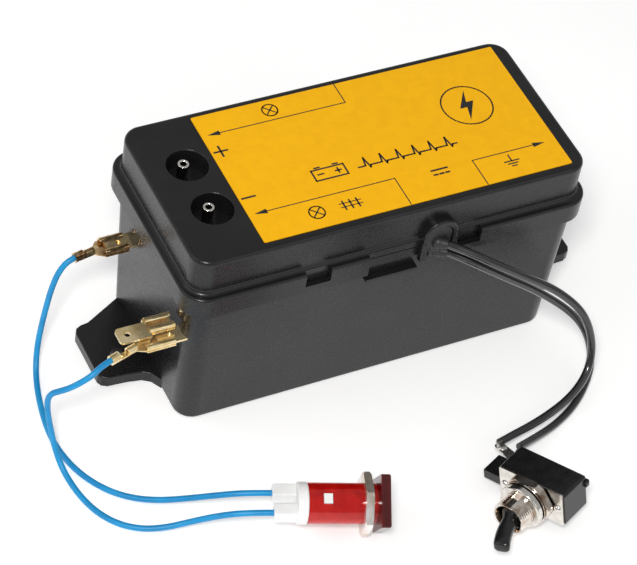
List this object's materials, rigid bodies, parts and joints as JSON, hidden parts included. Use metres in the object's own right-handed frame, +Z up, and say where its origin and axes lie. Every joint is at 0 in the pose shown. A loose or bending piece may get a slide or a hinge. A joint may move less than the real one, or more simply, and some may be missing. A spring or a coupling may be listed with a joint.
{
  "type": "fence energizer",
  "caption": "Built-in fence energizer: black case with two supply wells, blade terminals, a control lamp and a toggle switch on leads.",
  "frame": {"origin": "middle of the case's underside", "axes": "+X along the case to the earth end, +Y to the back of the case, +Z up"},
  "size_m": [0.2081, 0.1546, 0.0783],
  "materials": {
    "case_black": "smooth gloss",
    "label_yellow": "printed film",
    "rubber_black": "soft",
    "tinned": "tinned",
    "nickel": "nickel plated",
    "brass": "rolled strip",
    "board_green": "lacquered",
    "core_steel": "laminated",
    "copper": "enamelled wire",
    "film_yellow": "wrapped",
    "sleeve_blue": "shrunk sleeve",
    "epoxy_black": "moulded",
    "resistor_tan": "lacquered",
    "lens_red": "clear moulded",
    "white_plastic": "moulded",
    "nut_clear": "translucent nylon",
    "bulb_glass": "blown",
    "insulation_blue": "flexible",
    "insulation_black": "flexible",
    "phenolic": "moulded"
  },
  "bodies": {
    "case": {"case_tub": "case_black", "lid_gasket": "rubber_black", "cable_gland": "rubber_black", "lead_tails": "tinned", "pin_plus": "nickel", "pin_minus": "nickel", "blade_lamp": "brass", "blade_fence": "brass", "blade_earth": "brass", "circuit_board": "board_green", "board_screws": "nickel", "transformer_core": "core_steel", "transformer_bobbin": "white_plastic", "primary_winding": "copper", "secondary_winding": "copper", "storage_capacitor": "film_yellow", "filter_capacitor": "sleeve_blue", "thyristor": "epoxy_black", "driver_transistor": "epoxy_black", "resistors": "resistor_tan", "diodes": "epoxy_black", "receptacle_lamp": "brass", "receptacle_fence": "brass", "lamp_holder": "white_plastic", "lamp_lens": "lens_red", "lamp_nut": "nut_clear", "lamp_bulb": "bulb_glass", "lamp_resistor": "resistor_tan", "switch_body": "phenolic", "switch_plate": "nickel", "switch_rivets": "nickel", "switch_bushing": "nickel", "switch_hex_nut": "nickel", "switch_washer": "nickel", "switch_ring_nut": "nickel", "switch_pivot": "nickel", "switch_lug_side": "tinned", "switch_lug_back": "tinned", "lead_lamp_upper": "insulation_blue", "lead_lamp_lower": "insulation_blue", "lead_switch_upper": "insulation_black", "lead_switch_lower": "insulation_black"},
    "lid": {"case_lid": "case_black", "label_plate": "label_yellow"},
    "lever": {"switch_lever": "phenolic"},
    "rocker": {"switch_rocker": "brass"}
  },
  "joints": [
    {"name": "lid_lift", "type": "slide", "parent": "case", "child": "lid", "axis": [0, 0, 1], "range_m": [0, 0.03]},
    {"name": "lever_tip", "type": "hinge", "parent": "case", "child": "lever", "pos_m": [0.01543, -0.10627, 0.00927], "axis": [-0.1387, 0.2321, 0.9627], "range_deg": [-44, 0]},
    {"name": "rocker_tip", "type": "hinge", "parent": "case", "child": "rocker", "pos_m": [0.02923, -0.0999, 0.00972], "axis": [-0.1387, 0.2321, 0.9627], "range_deg": [0, 18]}
  ],
  "couplings": [
    {"joint": "rocker_tip", "follows": "lever_tip", "ratio": -0.409}
  ]
}
